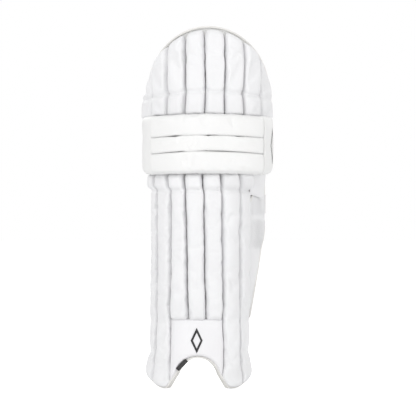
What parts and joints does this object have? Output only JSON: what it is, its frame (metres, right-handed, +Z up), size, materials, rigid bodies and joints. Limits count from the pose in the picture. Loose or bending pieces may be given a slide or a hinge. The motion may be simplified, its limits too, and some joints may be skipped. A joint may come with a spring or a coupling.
{
  "type": "cricket leg pad",
  "caption": "Left-leg cricket batting pad: ribbed shin guard with hinged knee roll and top hat, a hinged side wing and closing straps.",
  "frame": {"origin": "under the middle of the bounding box, on the level of the toe tips", "axes": "+Z up the leg, front of the pad towards -Y, outer side of the left leg towards +X"},
  "size_m": [0.268, 0.2196, 0.722],
  "materials": {
    "rib_leather": "light cool white synthetic leather with a fine grain",
    "roll_leather": "warm white synthetic leather with a fine grain",
    "backing_canvas": "plain woven cotton",
    "lining_fabric": "soft woven lining",
    "binding_tape": "folded synthetic leather tape",
    "foam": "closed-cell foam",
    "cane": "split cane",
    "black_tape": "woven tape",
    "webbing": "woven strap",
    "hook_tape": "hook-faced tape",
    "loop_tape": "brushed loop tape"
  },
  "bodies": {
    "shin": {"ankle_strap_landing": "loop_tape", "binding_tag": "black_tape", "foot_binding": "binding_tape", "instep_foam": "foam", "instep_panel": "rib_leather", "shin_backing": "backing_canvas", "shin_bolsters": "lining_fabric", "shin_canes": "cane", "shin_lining": "lining_fabric", "shin_rib_1": "rib_leather", "shin_rib_2": "rib_leather", "shin_rib_3": "rib_leather", "shin_rib_4": "rib_leather", "shin_rib_5": "rib_leather", "shin_rib_6": "rib_leather", "shin_rib_7": "rib_leather", "shin_strap_anchors": "webbing", "side_bindings": "binding_tape"},
    "wing": {"wing_cover": "rib_leather", "wing_foam": "foam", "wing_lining": "lining_fabric", "wing_binding": "binding_tape", "calf_loop_patch": "loop_tape"},
    "knee": {"knee_backing": "backing_canvas", "knee_lining": "lining_fabric", "knee_roll_top": "roll_leather", "knee_roll_middle": "roll_leather", "knee_roll_bottom": "roll_leather", "knee_roll_foams": "foam", "knee_roll_left_end": "roll_leather", "knee_roll_right_end": "roll_leather", "lower_knee_ribs": "rib_leather", "upper_knee_ribs": "rib_leather", "knee_cup_sides": "lining_fabric", "knee_cup_top": "lining_fabric", "knee_gusset": "rib_leather", "knee_strap_anchor": "webbing", "knee_strap_landing": "loop_tape"},
    "top_hat": {"top_backing": "backing_canvas", "top_binding": "binding_tape", "top_canes": "cane", "top_lining": "lining_fabric", "top_rib_1": "rib_leather", "top_rib_2": "rib_leather", "top_rib_3": "rib_leather", "top_rib_4": "rib_leather", "top_rib_5": "rib_leather", "top_rib_6": "rib_leather", "top_rib_7": "rib_leather", "top_rib_8": "rib_leather"},
    "calf_strap": {"calf_strap_band": "webbing", "calf_strap_sleeve": "lining_fabric", "calf_strap_hook_tab": "hook_tape"},
    "ankle_strap": {"ankle_strap_band": "webbing", "ankle_strap_sleeve": "lining_fabric", "ankle_strap_hook_tab": "hook_tape"},
    "knee_strap": {"knee_strap_band": "webbing", "knee_strap_sleeve": "lining_fabric", "knee_strap_hook_tab": "hook_tape"}
  },
  "joints": [
    {"name": "knee_flex", "type": "hinge", "parent": "shin", "child": "knee", "pos_m": [0, -0.0695, 0.395], "axis": [-1, 0, 0], "range_deg": [-4, 12], "stiffness_Nm_per_rad": 6},
    {"name": "top_flex", "type": "hinge", "parent": "knee", "child": "top_hat", "pos_m": [0, -0.0695, 0.589], "axis": [-1, 0, 0], "range_deg": [-6, 14], "stiffness_Nm_per_rad": 3},
    {"name": "calf_strap_open", "type": "hinge", "parent": "shin", "child": "calf_strap", "pos_m": [-0.09209, 0.0065, 0.366], "axis": [0, 0, 1], "range_deg": [0, 105]},
    {"name": "wing_open", "type": "hinge", "parent": "shin", "child": "wing", "pos_m": [0.0795, -0.0055, 0.3], "axis": [0, 0, -1], "range_deg": [0, 12.6]},
    {"name": "ankle_strap_open", "type": "hinge", "parent": "shin", "child": "ankle_strap", "pos_m": [-0.09209, 0.0065, 0.112], "axis": [0, 0, 1], "range_deg": [0, 105]},
    {"name": "knee_strap_open", "type": "hinge", "parent": "knee", "child": "knee_strap", "pos_m": [-0.1064, 0.024, 0.476], "axis": [0, 0, 1], "range_deg": [0, 105]}
  ],
  "couplings": [
    {"joint": "wing_open", "follows": "calf_strap_open", "ratio": 0.12}
  ]
}
